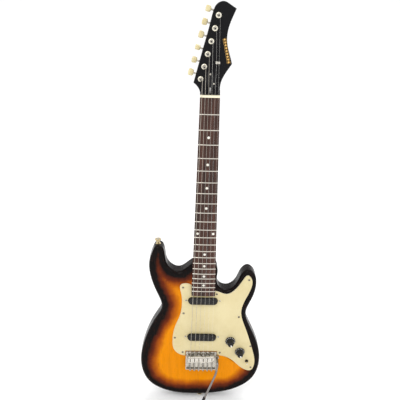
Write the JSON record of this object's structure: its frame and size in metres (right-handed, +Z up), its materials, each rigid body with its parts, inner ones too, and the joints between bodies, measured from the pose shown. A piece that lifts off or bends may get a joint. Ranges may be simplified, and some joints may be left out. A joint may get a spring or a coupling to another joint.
{
  "type": "electric guitar",
  "caption": "Solid-body double-cutaway electric guitar with a sunburst body, cream pickguard, single-coil pickups, tremolo bridge and inline tuners.",
  "frame": {"origin": "outer face of the end strap button, on the centre line at half the body's thickness", "axes": "+Z up along the neck, -Y out of the front, +X to the treble side"},
  "size_m": [0.3034, 0.0929, 0.9825],
  "materials": {
    "sunburst_wood": "gloss",
    "neck_wood": "gloss",
    "rosewood": "satin",
    "fret_wire": "polished",
    "dot_shell": "gloss",
    "nut_bone": "satin",
    "steel": "satin",
    "black_plastic": "gloss",
    "nickel": "polished",
    "cream_plastic": "gloss",
    "coil": "satin",
    "wire_cover": "matte",
    "string_steel": "satin",
    "knob_plastic": "gloss",
    "ivory_plastic": "gloss"
  },
  "bodies": {
    "guitar": {"body": "sunburst_wood", "bridge_pickup_coil": "coil", "bridge_pickup_cover": "black_plastic", "claw_screws": "steel", "cover_screws": "nickel", "fingerboard": "rosewood", "frets": "fret_wire", "headstock_screws": "nickel", "jack_cup": "nickel", "neck": "neck_wood", "neck_pickup_coil": "coil", "neck_pickup_cover": "black_plastic", "neck_plate": "nickel", "neck_screws": "nickel", "nut": "nut_bone", "output_jack": "nickel", "pickguard": "cream_plastic", "pickguard_screws": "nickel", "pickup_screws": "nickel", "pickup_springs": "steel", "pivot_screws": "nickel", "position_dots": "dot_shell", "rear_cover": "cream_plastic", "spring_claw": "steel", "strap_button_screws": "nickel", "strap_buttons": "nickel", "string_tree": "nickel", "strings": "string_steel", "toggle_switch": "nickel", "tone_pot": "steel", "tremolo_springs": "steel", "truss_rod": "steel", "truss_rod_cover": "black_plastic", "tuner_bushings": "nickel", "tuner_housings": "nickel", "volume_pot": "steel", "wiring": "wire_cover"},
    "tremolo_bridge": {"bridge_plate": "nickel", "tremolo_block": "steel", "block_screws": "nickel", "saddles": "nickel", "saddle_screws": "steel", "saddle_springs": "steel"},
    "tremolo_arm": {"tremolo_arm": "nickel", "arm_tip": "black_plastic"},
    "volume_knob": {"volume_knob": "knob_plastic"},
    "tone_knob": {"tone_knob": "knob_plastic"},
    "switch_lever": {"switch_lever": "nickel"},
    "tuner_button_1": {"tuner_button_1": "ivory_plastic"},
    "tuner_post_1": {"tuner_post_1": "nickel"},
    "tuner_button_2": {"tuner_button_2": "ivory_plastic"},
    "tuner_post_2": {"tuner_post_2": "nickel"},
    "tuner_button_3": {"tuner_button_3": "ivory_plastic"},
    "tuner_post_3": {"tuner_post_3": "nickel"},
    "tuner_button_4": {"tuner_button_4": "ivory_plastic"},
    "tuner_post_4": {"tuner_post_4": "nickel"},
    "tuner_button_5": {"tuner_button_5": "ivory_plastic"},
    "tuner_post_5": {"tuner_post_5": "nickel"},
    "tuner_button_6": {"tuner_button_6": "ivory_plastic"},
    "tuner_post_6": {"tuner_post_6": "nickel"}
  },
  "joints": [
    {"name": "tremolo", "type": "hinge", "parent": "guitar", "child": "tremolo_bridge", "pos_m": [0, -0.0238, 0.1453], "axis": [1, 0, 0], "range_deg": [-12, 1.5], "stiffness_Nm_per_rad": 10, "deforming": ["tremolo_springs", "strings"]},
    {"name": "arm_swing", "type": "hinge", "parent": "tremolo_bridge", "child": "tremolo_arm", "pos_m": [0.0405, -0.025, 0.1333], "axis": [0, 1, 0], "range_deg": [-75, 60]},
    {"name": "volume_turn", "type": "hinge", "parent": "guitar", "child": "volume_knob", "pos_m": [0.072, -0.0235, 0.181], "axis": [0, -1, 0], "range_deg": [-150, 150]},
    {"name": "tone_turn", "type": "hinge", "parent": "guitar", "child": "tone_knob", "pos_m": [0.0975, -0.0235, 0.1495], "axis": [0, -1, 0], "range_deg": [-150, 150]},
    {"name": "switch_throw", "type": "hinge", "parent": "guitar", "child": "switch_lever", "pos_m": [0.1135, -0.022, 0.1205], "axis": [1, 0, 0], "range_deg": [-12, 12]},
    {"name": "tuner_button_1_turn", "type": "hinge", "parent": "guitar", "child": "tuner_button_1", "pos_m": [-0.0189, -0.0003, 0.83325], "axis": [-0.9687, 0, 0.2483], "continuous": true},
    {"name": "tuner_post_1_turn", "type": "hinge", "parent": "guitar", "child": "tuner_post_1", "pos_m": [-0.0205, -0.004, 0.827], "axis": [0, 1, 0], "continuous": true},
    {"name": "tuner_button_2_turn", "type": "hinge", "parent": "guitar", "child": "tuner_button_2", "pos_m": [-0.01232, -0.0003, 0.85892], "axis": [-0.9687, 0, 0.2483], "continuous": true},
    {"name": "tuner_post_2_turn", "type": "hinge", "parent": "guitar", "child": "tuner_post_2", "pos_m": [-0.01392, -0.004, 0.85267], "axis": [0, 1, 0], "continuous": true},
    {"name": "tuner_button_3_turn", "type": "hinge", "parent": "guitar", "child": "tuner_button_3", "pos_m": [-0.00574, -0.0003, 0.88459], "axis": [-0.9687, 0, 0.2483], "continuous": true},
    {"name": "tuner_post_3_turn", "type": "hinge", "parent": "guitar", "child": "tuner_post_3", "pos_m": [-0.00734, -0.004, 0.87834], "axis": [0, 1, 0], "continuous": true},
    {"name": "tuner_button_4_turn", "type": "hinge", "parent": "guitar", "child": "tuner_button_4", "pos_m": [0.00085, -0.0003, 0.91026], "axis": [-0.9687, 0, 0.2483], "continuous": true},
    {"name": "tuner_post_4_turn", "type": "hinge", "parent": "guitar", "child": "tuner_post_4", "pos_m": [-0.00076, -0.004, 0.90401], "axis": [0, 1, 0], "continuous": true},
    {"name": "tuner_button_5_turn", "type": "hinge", "parent": "guitar", "child": "tuner_button_5", "pos_m": [0.00743, -0.0003, 0.93593], "axis": [-0.9687, 0, 0.2483], "continuous": true},
    {"name": "tuner_post_5_turn", "type": "hinge", "parent": "guitar", "child": "tuner_post_5", "pos_m": [0.00582, -0.004, 0.92968], "axis": [0, 1, 0], "continuous": true},
    {"name": "tuner_button_6_turn", "type": "hinge", "parent": "guitar", "child": "tuner_button_6", "pos_m": [0.01401, -0.0003, 0.9616], "axis": [-0.9687, 0, 0.2483], "continuous": true},
    {"name": "tuner_post_6_turn", "type": "hinge", "parent": "guitar", "child": "tuner_post_6", "pos_m": [0.0124, -0.004, 0.95535], "axis": [0, 1, 0], "continuous": true}
  ],
  "couplings": [
    {"joint": "tuner_post_1_turn", "follows": "tuner_button_1_turn", "ratio": 0.071429},
    {"joint": "tuner_post_2_turn", "follows": "tuner_button_2_turn", "ratio": 0.071429},
    {"joint": "tuner_post_3_turn", "follows": "tuner_button_3_turn", "ratio": 0.071429},
    {"joint": "tuner_post_4_turn", "follows": "tuner_button_4_turn", "ratio": 0.071429},
    {"joint": "tuner_post_5_turn", "follows": "tuner_button_5_turn", "ratio": 0.071429},
    {"joint": "tuner_post_6_turn", "follows": "tuner_button_6_turn", "ratio": 0.071429}
  ]
}
